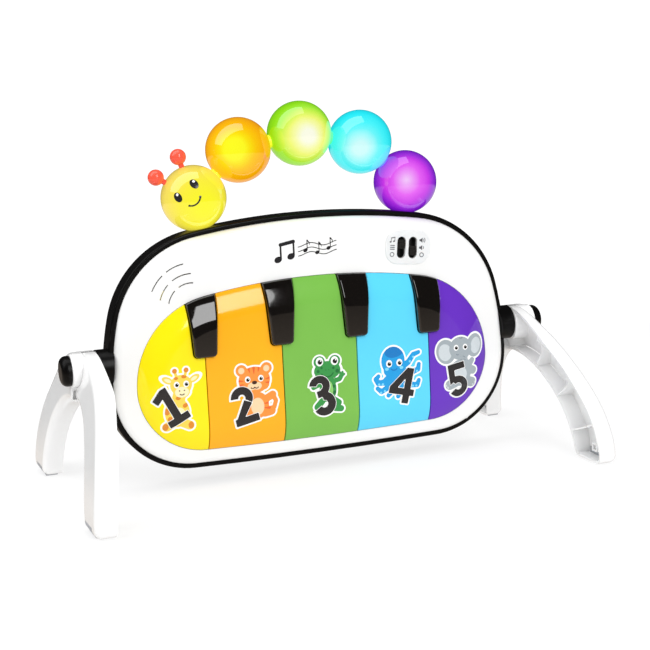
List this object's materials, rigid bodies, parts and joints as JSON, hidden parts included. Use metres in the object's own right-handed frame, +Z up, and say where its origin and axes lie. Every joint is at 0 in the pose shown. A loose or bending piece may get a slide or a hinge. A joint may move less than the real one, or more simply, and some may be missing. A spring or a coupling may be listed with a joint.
{
  "type": "activity play gym",
  "caption": "Free-standing toy piano of a baby play gym: D-shaped housing with coloured keys, an arch of light-up balls and curved legs that turn on side hubs.",
  "frame": {"origin": "on the floor, midway between the feet, under the axis that the legs turn on", "axes": "+X to the right as seen from the front, +Y to the back, +Z up; the keys face -Y"},
  "size_m": [0.493, 0.282, 0.3471],
  "materials": {
    "white_plastic": "high gloss white moulded ABS",
    "leg_plastic": "satin white moulded ABS",
    "black_shell": "gloss black moulded ABS",
    "black_key_plastic": "high gloss black",
    "key_yellow": "gloss yellow",
    "key_orange": "gloss orange",
    "key_green": "gloss green",
    "key_blue": "gloss sky blue",
    "key_purple": "gloss purple",
    "ball_head": "translucent yellow, lit from inside",
    "ball_orange": "translucent orange, lit from inside",
    "ball_green": "translucent green, lit from inside",
    "ball_blue": "translucent blue, lit from inside",
    "ball_purple": "translucent purple, lit from inside",
    "antenna_red": "gloss coral red",
    "knob_black": "satin black",
    "inner_plastic": "plain grey moulding",
    "component_plastic": "black component bodies",
    "circuit_board": "green solder mask",
    "speaker_paper": "black paper cone",
    "battery_jacket": "plain jacket",
    "clear_tube": "milky tube",
    "dome_rubber": "grey silicone",
    "pad_rubber": "grey rubber",
    "steel": "plain zinc"
  },
  "bodies": {
    "housing": {"antenna_1": "antenna_red", "antenna_2": "antenna_red", "arch_tube": "clear_tube", "batteries": "battery_jacket", "battery_box": "inner_plastic", "battery_contacts": "steel", "black_key_1": "black_key_plastic", "black_key_2": "black_key_plastic", "black_key_3": "black_key_plastic", "black_key_4": "black_key_plastic", "case_screws": "steel", "front_bezel": "white_plastic", "hub_washers": "steel", "key_board": "circuit_board", "key_board_screws": "steel", "key_dome_1": "dome_rubber", "key_dome_2": "dome_rubber", "key_dome_3": "dome_rubber", "key_dome_4": "dome_rubber", "key_dome_5": "dome_rubber", "key_frame": "inner_plastic", "key_pivot_rod": "steel", "led_modules": "circuit_board", "left_hub_cap": "black_shell", "left_hub_pin": "steel", "light_ball_1_head": "ball_head", "light_ball_2_orange": "ball_orange", "light_ball_3_green": "ball_green", "light_ball_4_blue": "ball_blue", "light_ball_5_purple": "ball_purple", "main_board": "circuit_board", "main_board_parts": "component_plastic", "mode_switch_body": "component_plastic", "rear_shell": "black_shell", "right_hub_cap": "black_shell", "right_hub_pin": "steel", "speaker_basket": "steel", "speaker_cone": "speaker_paper", "speaker_magnet": "steel", "switch_board": "circuit_board", "switch_plate": "white_plastic", "volume_switch_body": "component_plastic"},
    "battery_door": {"battery_door": "black_shell", "battery_door_screw": "steel"},
    "key_1": {"key_1_yellow": "key_yellow"},
    "key_2": {"key_2_orange": "key_orange"},
    "key_3": {"key_3_green": "key_green"},
    "key_4": {"key_4_blue": "key_blue"},
    "key_5": {"key_5_purple": "key_purple"},
    "left_front_leg": {"left_front_foot_pad": "pad_rubber", "left_front_leg": "leg_plastic"},
    "left_rear_leg": {"left_rear_foot_pad": "pad_rubber", "left_rear_leg": "leg_plastic"},
    "mode_knob": {"mode_switch_knob": "knob_black"},
    "right_front_leg": {"right_front_foot_pad": "pad_rubber", "right_front_leg": "leg_plastic"},
    "right_rear_leg": {"right_rear_foot_pad": "pad_rubber", "right_rear_leg": "leg_plastic"},
    "volume_knob": {"volume_switch_knob": "knob_black"}
  },
  "joints": [
    {"name": "key_1_press", "type": "hinge", "parent": "housing", "child": "key_1", "pos_m": [-0.148, -0.007, 0.19], "axis": [1, 0, 0], "range_deg": [0, 1.4], "stiffness_Nm_per_rad": 4, "springref_deg": -0.69, "deforming": ["key_dome_1"]},
    {"name": "key_2_press", "type": "hinge", "parent": "housing", "child": "key_2", "pos_m": [-0.074, -0.007, 0.19], "axis": [1, 0, 0], "range_deg": [0, 1.4], "stiffness_Nm_per_rad": 4, "springref_deg": -0.69, "deforming": ["key_dome_2"]},
    {"name": "key_3_press", "type": "hinge", "parent": "housing", "child": "key_3", "pos_m": [0, -0.007, 0.19], "axis": [1, 0, 0], "range_deg": [0, 1.4], "stiffness_Nm_per_rad": 4, "springref_deg": -0.69, "deforming": ["key_dome_3"]},
    {"name": "key_4_press", "type": "hinge", "parent": "housing", "child": "key_4", "pos_m": [0.074, -0.007, 0.19], "axis": [1, 0, 0], "range_deg": [0, 1.4], "stiffness_Nm_per_rad": 4, "springref_deg": -0.69, "deforming": ["key_dome_4"]},
    {"name": "key_5_press", "type": "hinge", "parent": "housing", "child": "key_5", "pos_m": [0.148, -0.007, 0.19], "axis": [1, 0, 0], "range_deg": [0, 1.4], "stiffness_Nm_per_rad": 4, "springref_deg": -0.69, "deforming": ["key_dome_5"]},
    {"name": "mode_slide", "type": "slide", "parent": "housing", "child": "mode_knob", "axis": [0.0958, 0, 0.9954], "range_m": [-0.006, 0]},
    {"name": "volume_slide", "type": "slide", "parent": "housing", "child": "volume_knob", "axis": [0.0958, 0, 0.9954], "range_m": [0, 0.006]},
    {"name": "battery_door_lift", "type": "slide", "parent": "housing", "child": "battery_door", "axis": [0, 1, 0], "range_m": [0, 0.02]},
    {"name": "left_stand_tilt", "type": "hinge", "parent": "housing", "child": "left_rear_leg", "pos_m": [-0.225, 0, 0.119], "axis": [1, 0, 0], "range_deg": [-20, 90]},
    {"name": "left_leg_spread", "type": "hinge", "parent": "left_rear_leg", "child": "left_front_leg", "pos_m": [-0.213, 0, 0.119], "axis": [1, 0, 0], "range_deg": [-20, 0]},
    {"name": "right_stand_tilt", "type": "hinge", "parent": "housing", "child": "right_rear_leg", "pos_m": [0.225, 0, 0.119], "axis": [1, 0, 0], "range_deg": [-20, 90]},
    {"name": "right_leg_spread", "type": "hinge", "parent": "right_rear_leg", "child": "right_front_leg", "pos_m": [0.213, 0, 0.119], "axis": [1, 0, 0], "range_deg": [-20, 0]}
  ]
}
